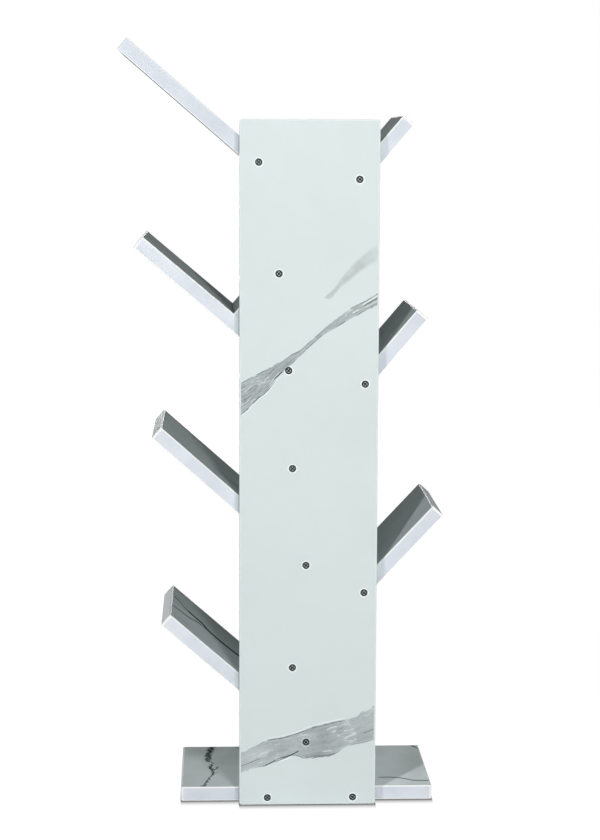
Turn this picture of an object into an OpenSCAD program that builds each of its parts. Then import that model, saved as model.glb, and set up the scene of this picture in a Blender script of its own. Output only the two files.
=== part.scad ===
// Tree shaped bookshelf: a tall trunk panel with a level base and seven slanted shelf arms
// that stand on each other in a zigzag, left arm on right arm on left arm, down to the base.
// Every board is a laminate panel with glued edge bands, and screws and dowels join them.
// The shelf stands on z = 0. The trunk is at the back (-Y), centred on x = 0, and the arms
// reach forward to +Y. Arms are counted from the top down.

/* [Boards] */
// Thickness of every board
board_t = 18; // [15:0.5:22]
// Depth of the arms and the base, front to back
shelf_d = 182; // [150:1:240]
// Width of the trunk panel
trunk_w = 170; // [150:1:200]
// Height of the trunk panel
trunk_h = 850; // [835:1:900]
// Width of the base shelf
base_w = 316; // [280:1:380]

/* [Arms] */
// Slope of the left arms from the top down, in degrees from level
left_slopes = [40.7, 40.2, 41.5, 41.1]; // [38:0.1:44]
// Slope of the right arms from the top down, in degrees from level
right_slopes = [49.5, 49.6, 46.9]; // [46:0.1:51]
// Distance along each arm from its lower end to the arm that stands on it
arm_step = 168.1; // [160:0.1:172]
// The same distance on the lowest arm, whose lower end is bevelled to sit on the base
foot_step = 191.2; // [184:0.1:198]
// What a left arm reaches past the arm that stands on it
left_reach = 145.7; // [120:0.1:170]
// What a right arm reaches past the arm that stands on it
right_reach = 149.3; // [120:0.1:170]
// Distance of the lowest arm's toe from the middle of the trunk
foot_x = 83; // [76:1:88]

/* [Edge bands] */
// Thickness of the edge bands
band_t = 2; // [1:0.1:3]
// Rounding of the bands along the boards' faces
edge_r = 1.6; // [0.4:0.1:2]
// Rounding of the boards' outer corners
corner_r = 3; // [2:0.1:5]

/* [Screws and dowels] */
// Diameter of a screw's shank
screw_d = 4.5; // [4:0.1:5]
// Diameter of a screw's head
head_d = 8.6; // [8:0.1:9.6]
// Length of the screws through the trunk and through the arms
screw_l = 40; // [35:1:45]
// Length of the screws through the base into the lowest arm
foot_screw_l = 30; // [26:1:32]
// Diameter of a dowel
dowel_d = 8; // [6:0.5:8]
// Length of a dowel
dowel_l = 30; // [25:1:35]

/* [Hidden] */
// What a clearance hole in a carrying board is wider than the screw's shank
clearance = 0.4;
// What a pilot hole or a dowel's hole is wider than what it holds, at the crests
hole_fit = 0.1;
// What a blind hole is deeper than the screw or dowel in it
end_gap = 1;
// How far a head lies below its board's face
head_sink = 0.3;
// Straight rim of a countersunk head
head_rim = 0.4;
// Length of a screw's point
point_l = 6;
// Width of the slots of the cross recess in a screw's head
slot_w = 1.3;
// Length of the slots
slot_l = 5.4;
// Depth of the slots
slot_deep = 2.2;
// Turn of the cross recess, in degrees
slot_turn = 40;
// Chamfer at a dowel's ends
dowel_chamfer = 1;
// Depth of a dowel's hole in the trunk
dowel_in_trunk = 12;

// Places of the back screws from the middle of the trunk, arms from the top down
left_screw_x = [-61.8, -24.9, -2.8, -1.9];
right_screw_x = [[-37, 60.3], [-19.8, 68.8], [-19.2, 69.2]];
base_screw_x = [-50, 56.8];
// Places of the dowels in the left arms
left_dowel_x = [-18, -62, -50, -48];
// Distance of the joint screws and foot screws from the middle of the boards' depth
joint_screw_y = 55;
// Distance of the foot screws from the lowest arm's toe
foot_screw_in = 19;

// Glue line between a short edge band's ends and the long bands beside it
band_seam = 0.1;

// Cuts run this far past the faces they open
over = 1;
// Facets of round shapes
$fn = 48;

LEFT = len(left_slopes);
RIGHT = len(right_slopes);

rear_y = -shelf_d / 2;
back_y = rear_y - board_t;

// A direction in the xz plane, up an arm to the left or to the right
function up_left(slope) = [-cos(slope), sin(slope)];
function up_right(slope) = [cos(slope), sin(slope)];

// The point on the board below where each arm's top edge ends, worked out from the base up:
// the lowest left arm stands on the base, each right arm on the left arm of the next number,
// and each other left arm on the right arm of its own number.
function left_foot(i) = i == LEFT - 1
    ? [foot_x, board_t]
    : right_foot(i) + arm_step * up_right(right_slopes[i]);
function right_foot(i) = left_foot(i + 1)
    + (i + 1 == LEFT - 1 ? foot_step : arm_step) * up_left(left_slopes[i + 1]);

// Length of an arm along its top edge
function left_length(i) = (i == LEFT - 1 ? foot_step : arm_step) + left_reach;
right_length = arm_step + right_reach;

// How far an arm's end is out of square with its length, to lie flat on the board below
function left_skew(i) = left_slopes[i] + (i == LEFT - 1 ? 0 : right_slopes[i]) - 90;
function right_skew(i) = right_slopes[i] + left_slopes[i + 1] - 90;

// Height of an arm's middle line above a place across the trunk
function left_mid_z(i, x) = let (s = left_slopes[i], p = left_foot(i))
    p[1] - (x - p[0]) * tan(s) - board_t / 2 / cos(s);
function right_mid_z(i, x) = let (s = right_slopes[i], p = right_foot(i))
    p[1] + (x - p[0]) * tan(s) - board_t / 2 / cos(s);

// The boards' own shapes. A board lies with its top face on z = 0, its length along +x from
// its lower end and its depth along y.

// Rectangle with round corners
module round_rect(w, h, r) {
    translate([r, 0]) square([w - 2 * r, h]);
    translate([0, r]) square([w, h - 2 * r]);
    for (x = [r, w - r])
        for (y = [r, h - r])
            translate([x, y]) circle(r);
}

// Blank of a finished board with its edges and outer corners rounded. ends = 2 rounds both
// ends, and ends = 1 the outer one alone, with the lower end running past x = 0.
module rounded_blank(length, depth, thick, ends) {
    start = ends == 2 ? 0 : -2 * thick;
    span = length - start;
    intersection() {
        translate([start, -depth / 2, -thick])
            linear_extrude(thick) round_rect(span, depth, corner_r);
        translate([start, depth / 2, -thick])
            rotate([90, 0, 0]) linear_extrude(depth) round_rect(span, thick, edge_r);
        translate([start, -depth / 2, -thick])
            rotate([90, 0, 90]) linear_extrude(span) round_rect(depth, thick, edge_r);
    }
}

// Everything on the outer side of an arm's lower end, which is cut to the board below
module end_cut(length, depth, thick, skew) {
    translate([0, depth / 2 + over, 0])
        rotate([90, 0, 0])
            linear_extrude(depth + 2 * over)
                polygon([
                    [over * tan(skew), over],
                    [length + over, over],
                    [length + over, -thick - over],
                    [-(thick + over) * tan(skew), -thick - over],
                ]);
}

// Core of an arm: the laminate board inside its edge bands
module arm_core(length, skew) {
    intersection() {
        end_cut(length, shelf_d, board_t, skew);
        translate([-2 * board_t, -shelf_d / 2 + band_t, -board_t])
            cube([length - band_t + 2 * board_t, shelf_d - 2 * band_t, board_t]);
    }
}

// Edge bands of an arm: front, rear and outer end. The long ones run past the short one.
module arm_bands(length, skew) {
    for (y = [-shelf_d / 2, shelf_d / 2 - band_t])
        intersection() {
            rounded_blank(length, shelf_d, board_t, 1);
            end_cut(length, shelf_d, board_t, skew);
            translate([-2 * board_t, y, -board_t])
                cube([length + 3 * board_t, band_t, board_t]);
        }
    intersection() {
        rounded_blank(length, shelf_d, board_t, 1);
        short_band(length - band_t, shelf_d, board_t);
    }
}

// Room of a short edge band across a board of the given depth, between the two long ones
module short_band(x, depth, thick) {
    inset = band_t + band_seam;
    translate([x, inset - depth / 2, -thick]) cube([band_t, depth - 2 * inset, thick]);
}

// Edge bands round a whole panel of width w and depth d: two long strips and two short ones
module panel_bands(w, d, thick) {
    for (y = [-d / 2, d / 2 - band_t])
        intersection() {
            rounded_blank(w, d, thick, 2);
            translate([-over, y, -thick]) cube([w + 2 * over, band_t, thick]);
        }
    for (x = [0, w - band_t])
        intersection() {
            rounded_blank(w, d, thick, 2);
            short_band(x, d, thick);
        }
}

// Places of the boards

module place_left(i) {
    p = left_foot(i);
    translate([p[0], 0, p[1]]) mirror([1, 0, 0]) rotate([0, -left_slopes[i], 0]) children();
}

module place_right(i) {
    p = right_foot(i);
    translate([p[0], 0, p[1]]) rotate([0, -right_slopes[i], 0]) children();
}

module place_base() {
    translate([-base_w / 2, 0, board_t]) children();
}

// The trunk is a panel stood on its end, with its top face turned to the back
module place_trunk() {
    translate([0, back_y, 0]) rotate([90, -90, 0]) children();
}

// Screws, dowels and their holes, along +z from the face that they enter

// Outline of a countersunk screw: rim, cone, shank and point, grown by fit all round
module screw_outline(length, fit) {
    r = screw_d / 2 + fit;
    head = head_d / 2 + fit;
    polygon([
        [0, 0],
        [head, 0],
        [head, head_rim],
        [r, head_rim + head - r],
        [r, length - point_l],
        [0, length],
    ]);
}

module screw(length) {
    difference() {
        rotate_extrude() screw_outline(length, 0);
        rotate([0, 0, slot_turn])
            for (turn = [0, 90])
                rotate([0, 0, turn])
                    translate([-slot_l / 2, -slot_w / 2, -over]) cube([slot_l, slot_w, slot_deep + over]);
    }
}

// Hole for a screw: countersink and clearance hole through a board of the given thickness,
// then a pilot hole for the rest of the screw
module screw_hole(length, thick) {
    shank = screw_d / 2 + clearance;
    head = head_d / 2 + clearance;
    pilot = screw_d / 2 + hole_fit;
    sink = head_sink + head_rim;
    rotate_extrude()
        polygon([
            [0, -over],
            [head, -over],
            [head, sink],
            [shank, sink + head - shank],
            [shank, thick],
            [pilot, thick],
            [pilot, length + head_sink + end_gap],
            [0, length + head_sink + end_gap],
        ]);
}

module dowel() {
    r = dowel_d / 2;
    rotate_extrude()
        polygon([
            [0, 0],
            [r - dowel_chamfer, 0],
            [r, dowel_chamfer],
            [r, dowel_l - dowel_chamfer],
            [r - dowel_chamfer, dowel_l],
            [0, dowel_l],
        ]);
}

// Places of the screws and dowels. Each takes a child that points along +z.

module at_back(x, z) {
    translate([x, back_y, z]) rotate([-90, 0, 0]) children();
}

module at_back_screws_left(i) {
    at_back(left_screw_x[i], left_mid_z(i, left_screw_x[i])) children();
}

module at_back_screws_right(i) {
    for (x = right_screw_x[i]) at_back(x, right_mid_z(i, x)) children();
}

module at_back_screws_base() {
    for (x = base_screw_x) at_back(x, board_t / 2) children();
}

// A dowel starts a hole's end gap short of the depth of its hole in the trunk
module at_dowel(i) {
    x = left_dowel_x[i];
    translate([x, rear_y - dowel_in_trunk, left_mid_z(i, x)]) rotate([-90, 0, 0]) children();
}

// Two screws through left arm i, up into the right arm that stands on it. They lie on the
// middle line of that arm's end.
module at_joint_on_left(i) {
    place_left(i)
        translate([(i == LEFT - 1 ? foot_step : arm_step) - board_t / 2 / cos(right_skew(i - 1)), 0, -board_t])
            for (y = [-joint_screw_y, joint_screw_y]) translate([0, y, 0]) children();
}

// Two screws through right arm i, up into the left arm that stands on it
module at_joint_on_right(i) {
    place_right(i)
        translate([arm_step - board_t / 2 / cos(left_skew(i)), 0, -board_t])
            for (y = [-joint_screw_y, joint_screw_y]) translate([0, y, 0]) children();
}

module at_foot() {
    for (y = [-joint_screw_y, joint_screw_y]) translate([foot_x - foot_screw_in, y, 0]) children();
}

// Holes, as one cutter for each kind

module back_holes() {
    for (i = [0 : LEFT - 1]) at_back_screws_left(i) screw_hole(screw_l, board_t);
    for (i = [0 : RIGHT - 1]) at_back_screws_right(i) screw_hole(screw_l, board_t);
    at_back_screws_base() screw_hole(screw_l, board_t);
}

module dowel_hole() {
    translate([0, 0, -end_gap]) cylinder(h = dowel_l + 2 * end_gap, r = dowel_d / 2 + hole_fit);
}

// Sub-parts

MARBLE = "#dbe5e3";
BAND = "#e3e8ee";
STEEL = "#3a4444";
BEECH = "#d2b48c";

module trunk_panel() {
    color(MARBLE)
        difference() {
            place_trunk()
                translate([band_t, -trunk_w / 2 + band_t, -board_t])
                    cube([trunk_h - 2 * band_t, trunk_w - 2 * band_t, board_t]);
            back_holes();
            for (i = [0 : LEFT - 1]) at_dowel(i) dowel_hole();
        }
}

module trunk_edge_bands() {
    color(BAND) place_trunk() panel_bands(trunk_h, trunk_w, board_t);
}

module base_shelf() {
    color(MARBLE)
        difference() {
            place_base()
                translate([band_t, -shelf_d / 2 + band_t, -board_t])
                    cube([base_w - 2 * band_t, shelf_d - 2 * band_t, board_t]);
            at_back_screws_base() screw_hole(screw_l, board_t);
            at_foot() screw_hole(foot_screw_l, board_t);
        }
}

module base_edge_bands() {
    color(BAND)
        difference() {
            place_base() panel_bands(base_w, shelf_d, board_t);
            at_back_screws_base() screw_hole(screw_l, board_t);
        }
}

// What is drilled into left arm i: its back screw, its dowel, the joint that it carries and
// the screws that hold its own lower end
module left_arm_holes(i) {
    at_back_screws_left(i) screw_hole(screw_l, board_t);
    at_dowel(i) dowel_hole();
    if (i > 0) at_joint_on_left(i) screw_hole(screw_l, board_t);
    if (i < LEFT - 1) at_joint_on_right(i) screw_hole(screw_l, board_t);
    else at_foot() screw_hole(foot_screw_l, board_t);
}

module left_arm(i) {
    color(MARBLE)
        difference() {
            place_left(i) arm_core(left_length(i), left_skew(i));
            left_arm_holes(i);
        }
}

module left_arm_edge_bands(i) {
    color(BAND)
        difference() {
            place_left(i) arm_bands(left_length(i), left_skew(i));
            at_back_screws_left(i) screw_hole(screw_l, board_t);
            at_dowel(i) dowel_hole();
        }
}

// What is drilled into right arm i: its back screws, the joint that it carries and the screws
// from the left arm below that hold its own lower end
module right_arm_holes(i) {
    at_back_screws_right(i) screw_hole(screw_l, board_t);
    at_joint_on_right(i) screw_hole(screw_l, board_t);
    at_joint_on_left(i + 1) screw_hole(screw_l, board_t);
}

module right_arm(i) {
    color(MARBLE)
        difference() {
            place_right(i) arm_core(right_length, right_skew(i));
            right_arm_holes(i);
        }
}

module right_arm_edge_bands(i) {
    color(BAND)
        difference() {
            place_right(i) arm_bands(right_length, right_skew(i));
            at_back_screws_right(i) screw_hole(screw_l, board_t);
        }
}

module back_screws() {
    color(STEEL) {
        for (i = [0 : LEFT - 1]) at_back_screws_left(i) translate([0, 0, head_sink]) screw(screw_l);
        for (i = [0 : RIGHT - 1]) at_back_screws_right(i) translate([0, 0, head_sink]) screw(screw_l);
        at_back_screws_base() translate([0, 0, head_sink]) screw(screw_l);
    }
}

module joint_screws() {
    color(STEEL) {
        for (i = [1 : LEFT - 1]) at_joint_on_left(i) translate([0, 0, head_sink]) screw(screw_l);
        for (i = [0 : RIGHT - 1]) at_joint_on_right(i) translate([0, 0, head_sink]) screw(screw_l);
    }
}

module foot_screws() {
    color(STEEL) at_foot() translate([0, 0, head_sink]) screw(foot_screw_l);
}

module dowels() {
    color(BEECH) for (i = [0 : LEFT - 1]) at_dowel(i) dowel();
}

left_names = [for (i = [0 : LEFT - 1]) str("left_arm_", i + 1)];
right_names = [for (i = [0 : RIGHT - 1]) str("right_arm_", i + 1)];

trunk_panel();
trunk_edge_bands();
base_shelf();
base_edge_bands();
for (i = [0 : LEFT - 1]) {
    left_arm(i);
    left_arm_edge_bands(i);
}
for (i = [0 : RIGHT - 1]) {
    right_arm(i);
    right_arm_edge_bands(i);
}
back_screws();
joint_screws();
foot_screws();
dowels();
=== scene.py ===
# %% [markdown]
# A tree shaped bookshelf, seen from behind. The boards, their edge bands and every place where
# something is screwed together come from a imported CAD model, which is loaded first and never
# moved. What is left for Blender is how it looks: the marble print on the boards, the white
# bands round them, screws with a real thread and recess, the floor, the lamps and the camera.

import math

import bmesh
import bpy
from mathutils import Matrix, Vector


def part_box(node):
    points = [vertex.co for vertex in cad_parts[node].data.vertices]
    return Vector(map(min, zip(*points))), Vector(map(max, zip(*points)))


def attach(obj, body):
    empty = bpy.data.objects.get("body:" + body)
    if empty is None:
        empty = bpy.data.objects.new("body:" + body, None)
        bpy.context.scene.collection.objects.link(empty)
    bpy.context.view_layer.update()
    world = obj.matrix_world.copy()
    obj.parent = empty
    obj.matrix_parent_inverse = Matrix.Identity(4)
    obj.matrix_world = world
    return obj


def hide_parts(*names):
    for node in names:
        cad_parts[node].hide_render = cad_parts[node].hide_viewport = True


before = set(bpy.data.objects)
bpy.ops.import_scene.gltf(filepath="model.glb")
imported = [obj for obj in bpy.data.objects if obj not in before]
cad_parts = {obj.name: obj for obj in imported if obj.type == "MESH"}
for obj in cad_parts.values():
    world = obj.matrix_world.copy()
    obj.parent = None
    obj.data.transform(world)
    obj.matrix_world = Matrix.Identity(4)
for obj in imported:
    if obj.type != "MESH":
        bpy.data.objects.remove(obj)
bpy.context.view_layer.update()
MM = 0.001

# %% [markdown]
# The camera stands behind the shelf, a little to the left of its middle and as high as its top
# arms. Its place and its lens were fitted to the outlines of the boards. It is turned in three
# steps that a photographer would take: yaw to the right, pitch down to the floor, and a trace
# of roll. The picture is 600 by 840 pixels, so a lens length follows from the long side.

# %% Camera
PICTURE_W, PICTURE_H = 600, 840
CAMERA_PLACE = Vector((-0.1155, -2.6832, 0.8177))
CAMERA_YAW = math.radians(2.327)
CAMERA_PITCH = math.radians(7.346)
CAMERA_ROLL = math.radians(0.217)
CAMERA_LENS = 91.0
SENSOR = 36.0


def new_object(name, data):
    """An object at the origin, in the scene."""
    made = bpy.data.objects.new(name, data)
    bpy.context.scene.collection.objects.link(made)
    return made


def camera_turn():
    """Looks along +Y, then turns to the right and down, with a little roll about the view."""
    turn = Matrix.Rotation(-CAMERA_YAW, 3, "Z")
    turn @= Matrix.Rotation(math.pi / 2 - CAMERA_PITCH, 3, "X")
    return turn @ Matrix.Rotation(CAMERA_ROLL, 3, "Z")


camera_data = bpy.data.cameras.new("camera")
camera_data.lens = CAMERA_LENS
camera_data.sensor_width = SENSOR
camera = new_object("camera", camera_data)
camera.matrix_world = Matrix.Translation(CAMERA_PLACE) @ camera_turn().to_4x4()
bpy.context.scene.camera = camera
print("camera at", *camera.location)

# %% [markdown]
# The print on a board is placed by where it shows in the picture. A ray through a pixel meets
# the plane of the board's face, and that point is where the vein runs, seen from any side. The
# planes are measured on the CAD mesh: the largest flat face that looks a given way.

# %% From a pixel to a point on a board
def pixel_ray(pixel):
    """Direction from the camera through a pixel of the picture."""
    focal = CAMERA_LENS / SENSOR * PICTURE_H
    across = pixel[0] - (PICTURE_W - 1) / 2
    down = pixel[1] - (PICTURE_H - 1) / 2
    return camera_turn() @ Vector((across, -down, -focal))


def face_towards(node, way):
    """A point and the normal of the largest flat face of a CAD node that looks a given way."""
    areas = {}
    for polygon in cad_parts[node].data.polygons:
        if polygon.normal.dot(way) > 0.5:
            reach = polygon.center.dot(polygon.normal)
            plane = (*(round(part, 3) for part in polygon.normal), round(reach, 4))
            areas[plane] = areas.get(plane, 0) + polygon.area
    *normal, reach = max(areas, key=areas.get)
    normal = Vector(normal).normalized()
    return normal * reach, normal


def on_face(pixels, face):
    """The points of a face that show at these pixels."""
    point, normal = face
    found = []
    for pixel in pixels:
        ray = pixel_ray(pixel)
        found.append(CAMERA_PLACE + ray * ((point - CAMERA_PLACE).dot(normal) / ray.dot(normal)))
    return found


UP = Vector((0, 0, 1))
BACK = Vector((0, -1, 0))
trunk_back = face_towards("trunk_panel", BACK)
base_top = face_towards("base_shelf", UP)
foot_arm_top = face_towards("left_arm_4", UP)
print("lowest left arm slopes", round(math.degrees(math.acos(foot_arm_top[1].z)), 1), "degrees")

# %% [markdown]
# A shader is a network of nodes, and a long one is hard to read as a list of links. Wire wraps
# one output of a node, so that sums can be written as sums: each plus or times adds a Math
# node. Its one method for every other node takes the node's type, its settings and what goes
# into its sockets, as numbers or as other wires.

# %% Shader sums as Python sums
class Wire:
    """One output of a shader node."""

    def __init__(self, socket):
        self.socket = socket
        self.tree = socket.id_data

    @staticmethod
    def node(tree, kind, settings=None, sockets=None, output=0):
        """Adds a node, sets it up, fills or links its sockets and returns one of its outputs."""
        made = tree.nodes.new(kind)
        for name, value in (settings or {}).items():
            if name == "stops":
                set_stops(made.color_ramp, value)
            elif name == "points":
                set_points(made.mapping, value)
            else:
                setattr(made, name, value)
        for name, value in (sockets or {}).items():
            if isinstance(value, Wire):
                tree.links.new(value.socket, made.inputs[name])
            else:
                made.inputs[name].default_value = value
        return Wire(made.outputs[output])

    def sum(self, operation, first, second):
        settings = {"operation": operation}
        return Wire.node(self.tree, "ShaderNodeMath", settings, {0: first, 1: second})

    def __add__(self, other):
        return self.sum("ADD", self, other)

    def __sub__(self, other):
        return self.sum("SUBTRACT", self, other)

    def __rsub__(self, other):
        return self.sum("SUBTRACT", other, self)

    def __mul__(self, other):
        return self.sum("MULTIPLY", self, other)

    def __truediv__(self, other):
        return self.sum("DIVIDE", self, other)

    def __abs__(self):
        return self.sum("ABSOLUTE", self, 0)

    def at_least(self, other):
        return self.sum("MAXIMUM", self, other)

    def at_most(self, other):
        return self.sum("MINIMUM", self, other)

    def rise(self, start, end):
        """0 before start, 1 after end, with a smooth step between. It falls if end is lower."""
        settings = {"interpolation_type": "SMOOTHSTEP"}
        sockets = {"Value": self, "From Min": start, "From Max": end}
        return Wire.node(self.tree, "ShaderNodeMapRange", settings, sockets)

    __radd__ = __add__
    __rmul__ = __mul__


def set_stops(ramp, stops):
    """Gives a colour ramp its stops, each a place from 0 to 1 and a colour."""
    while len(ramp.elements) < len(stops):
        ramp.elements.new(1)
    for element, (place, colour) in zip(ramp.elements, stops):
        element.position = place
        element.color = colour


def set_points(mapping, points):
    """Draws a float curve through points from 0 to 1."""
    curve = mapping.curves[0]
    while len(curve.points) < len(points):
        curve.points.new(1, 1)
    for mark, place in zip(curve.points, points):
        mark.location = place
    mapping.update()


def colour(code):
    """A written colour such as dbe7e5 as the linear numbers that a shader takes."""
    parts = [int(code[i:i + 2], 16) / 255 for i in (0, 2, 4)]
    return [p / 12.92 if p < 0.04045 else ((p + 0.055) / 1.055) ** 2.4 for p in parts] + [1]


print("vein grey is", [round(part, 3) for part in colour("a4aead")])

# %% [markdown]
# Every finish starts the same way: a material with one Principled shader, and the place on the
# object as a wire. Object coordinates are metres in the shelf's own frame, because every
# object sits at the origin. A colour or a number that is the same all over goes straight onto
# the shader's socket.

# %% The start of a finish
def new_finish(name, **constants):
    """A material, its shader's inputs and the place on the object, as a vector wire."""
    material = bpy.data.materials.new(name)
    material.use_nodes = True
    shader = material.node_tree.nodes["Principled BSDF"]
    for socket, value in constants.items():
        shader.inputs[socket.replace("_", " ")].default_value = value
    place = Wire.node(material.node_tree, "ShaderNodeTexCoord", output="Object")
    return material, shader.inputs, place


def feed(inputs, socket, wire):
    """Links a wire into the shader."""
    wire.tree.links.new(wire.socket, inputs[socket])


def vectors(operation, place, other, output="Vector"):
    """A step of vector maths on a place, with another vector or a number to scale it by."""
    sockets = {0: place, "Scale" if operation == "SCALE" else 1: other}
    settings = {"operation": operation}
    return Wire.node(place.tree, "ShaderNodeVectorMath", settings, sockets, output)


def along(place, way):
    """How far a place lies along a direction."""
    return vectors("DOT_PRODUCT", place, way, "Value")


def noise(place, scale, detail=3, rough=0.5, stretch=(1, 1, 1), output="Fac"):
    """Cloudy noise. Scale is in lumps for each metre, and stretch makes them long or flat."""
    spread = Wire.node(place.tree, "ShaderNodeMapping", None, {"Vector": place, "Scale": stretch})
    sockets = {"Vector": spread, "Scale": scale, "Detail": detail, "Roughness": rough}
    return Wire.node(place.tree, "ShaderNodeTexNoise", None, sockets, output)


def mix(factor, first, second):
    """From the first colour to the second as the factor goes from 0 to 1."""
    sockets = {0: factor, 6: first, 7: second}
    return Wire.node(factor.tree, "ShaderNodeMix", {"data_type": "RGBA"}, sockets, 2)


def bump(height, distance, strength):
    """A normal from a height of 0 to 1, where 1 stands the given distance proud."""
    sockets = {"Height": height, "Distance": distance, "Strength": strength}
    return Wire.node(height.tree, "ShaderNodeBump", None, sockets)


def wear(material, node):
    """Puts a finish on a CAD node."""
    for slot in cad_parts[node].material_slots:
        slot.material = material


def shake(place, reach, scale, detail=4):
    """The place moved a little by noise, so that what is drawn there has an uneven edge."""
    lumps = noise(place, scale, detail, 0.6, output="Color")
    centred = vectors("SUBTRACT", lumps, (0.5, 0.5, 0.5))
    return vectors("ADD", place, vectors("SCALE", centred, reach))


print("finishes start from the Principled shader")

# %% [markdown]
# A vein of marble is a long smear with two outlines. A float curve gives the height of each
# outline at every place along it. Where the print lies between them it is grey, and its rims
# are thin and dark. Noise that is stretched along the smear gives its streaks, and the lines
# where such noise crosses its middle value are its fine threads. A crack is thinner: one curve
# for its middle, with a width that tapers to both ends.

# %% Veins and cracks of the print
RIM = 1.1 * MM
THINNEST = 0.5 * MM
VEIN_END = 2 * MM


def follow(run, marks):
    """A curve through marks, each a place along the run and the value there."""
    marks = sorted(marks)
    start, end = marks[0][0], marks[-1][0]
    low = min(value for _, value in marks)
    high = max(value for _, value in marks) + 1e-6
    points = [((at - start) / (end - start), (value - low) / (high - low)) for at, value in marks]
    share = (run - start) / (end - start)
    curve = Wire.node(run.tree, "ShaderNodeFloatCurve", {"points": points}, {"Value": share})
    return curve * (high - low) + low


def vein(run, height, upper, lower, edge=0.05):
    """Where between its two outlines a place lies, and masks for the vein and for its rims."""
    top, bottom = follow(run, upper), follow(run, lower)
    share = (height - bottom) / (top - bottom).at_least(THINNEST)
    start, end = min(upper)[0], max(upper)[0]
    shown = run.rise(start - VEIN_END, start) * run.rise(end + VEIN_END, end)
    inside = share.rise(0, edge) * share.rise(1, 1 - edge) * shown
    nearest = abs(height - top).at_most(abs(height - bottom))
    return share, inside, nearest.rise(RIM, RIM / 5) * shown


def crack(run, height, marks, width, ends=0.1):
    """A line through marks, width thick, that tapers within a share of its length."""
    start, end = min(marks)[0], max(marks)[0]
    taper = (end - start) * ends
    distance = abs(height - follow(run, marks))
    shown = run.rise(start - taper / 2, start + taper) * run.rise(end + taper / 2, end - taper)
    return distance.rise(width / 2, width / 8) * shown


def drawn_out(run, share, seed, length, number, detail=5):
    """Noise drawn out along a vein, in lumps of this length and this number of rows."""
    parts = {"X": run / length, "Y": share * number, "Z": seed}
    spread = Wire.node(run.tree, "ShaderNodeCombineXYZ", None, parts)
    return noise(spread, 1.0, detail, 0.62)


def streaks(run, share, seed, length=0.035, number=4):
    return drawn_out(run, share, seed, length, number).rise(0.3, 0.7)


def threads(run, share, seed, length=0.025, number=9, thin=0.035):
    return abs(drawn_out(run, share, seed, length, number, 3) - 0.5).rise(thin, thin / 5)


print("veins follow float curves")

# %% [markdown]
# The marble of the boards is a print under a clear satin film, so the surface is flat and only
# the colour changes. All boards share one scale of greys. It runs from the ground colour over
# the soft grey of a vein to the dark of a crack. The trunk is nearly white, and the faces of
# the arms and the base are a pale grey. On the arms the grey is painted shade: their ground is
# written darker, for the shade on faces that look up. Pale threads are whiter than any ground.

# %% Greys of the print
TRUNK_GROUND = "d8e3e2"
BASE_GROUND = "e9f4f3"
# Painted shade: the arms' ground is written darker than the print's own, for faces that look up.
ARM_SHADED_GROUND = "a6afae"
VEIN_LIGHT = "c2cccb"
VEIN_GREY = "9ca5a5"
VEIN_DARK = "525c5c"
VEIN_WHITE = "f2f7f7"
CRACK_DARK = "2c3636"
X_AXIS, Y_AXIS, Z_AXIS = (1, 0, 0), (0, 1, 0), (0, 0, 1)
FILM_GRAIN, FILM_PROUD = 900, 0.02 * MM
OCCLUSION_SAMPLES = 8


def printed(dark, ground, light=VEIN_LIGHT, grey=VEIN_GREY, deep=VEIN_DARK):
    """The colour of the print where it is this dark, from 0 to 1."""
    stops = [(0, colour(ground)), (0.28, colour(light)), (0.6, colour(grey)), (1, colour(deep))]
    return Wire.node(dark.tree, "ShaderNodeValToRGB", {"stops": stops}, {"Fac": dark})


def film(inputs, place):
    """The satin film: a fine unevenness that only a highlight shows."""
    feed(inputs, "Normal", bump(noise(place, FILM_GRAIN, 2), FILM_PROUD, 0.5))
    feed(inputs, "Roughness", noise(place, 40, 3) * 0.08 + 0.4)


# Used for painted shade: it darkens joints and corners where a place is closed in.
def crevice_shade(place, reach):
    """1 deep in a joint, where two surfaces meet, and 0 past its reach."""
    settings = {"samples": OCCLUSION_SAMPLES}
    sockets = {"Distance": reach}
    opened = Wire.node(place.tree, "ShaderNodeAmbientOcclusion", settings, sockets, "AO")
    return opened.rise(0.95, 0.35)


print("grounds:", TRUNK_GROUND, BASE_GROUND, ARM_SHADED_GROUND)

# %% [markdown]
# Two broad veins and a smudge cross the back of the trunk. Their outlines are read off the
# picture at a few places each, and thrown onto the board by the camera. Each vein has its own
# streaks and darker rims. Cracks and pale lines run along it, each with the pixels it passes,
# its width in millimetres and its strength.

# %% Outlines on the back of the trunk, in pixels of the picture
SMUDGE_UPPER = [(324.5, 296), (329, 291), (334, 286), (340, 277.5), (350, 264.5), (364, 251.5),
                (378.5, 240)]
SMUDGE_LOWER = [(324.5, 297.5), (329, 299.5), (335, 294.2), (340, 288.5), (348, 283),
                (361.5, 272), (378.5, 263)]
MIDDLE_UPPER = [(239, 384), (254, 375.5), (259, 373), (269, 367.6), (281, 360.6), (292, 354),
                (300, 350), (306, 344.5), (319, 333), (326, 326.2), (339, 316.2), (352, 307.2),
                (366, 300.2), (380, 291.2)]
MIDDLE_LOWER = [(239, 415), (246, 409.6), (256, 399.6), (269, 387.6), (274, 380.1), (281, 372.5),
                (286, 368.6), (293, 361.6), (304, 350.6), (316, 339.5), (326, 331.2), (336, 326.2),
                (346, 320.2), (356, 315.2), (366, 309.2), (380, 304)]
LOW_UPPER = [(239, 752), (250, 748.4), (258, 744.6), (268, 739.6), (279, 737.9), (288, 735.7),
             (300, 731.8), (311.3, 727.3), (320.4, 724.9), (342.7, 719.9), (356, 717.1),
             (361.6, 711.6), (368.2, 708.8), (376, 703.5)]
LOW_LOWER = [(239, 773.5), (249, 769), (260, 765.8), (271.3, 762.3), (279, 759.6), (286, 757),
             (292.4, 754.6), (299, 755.7), (304.7, 758.3), (317, 756.5), (328.2, 755.4),
             (334.9, 752.7), (342.7, 747.7), (352.7, 743.8), (363.8, 741.6), (376, 737)]
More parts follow.
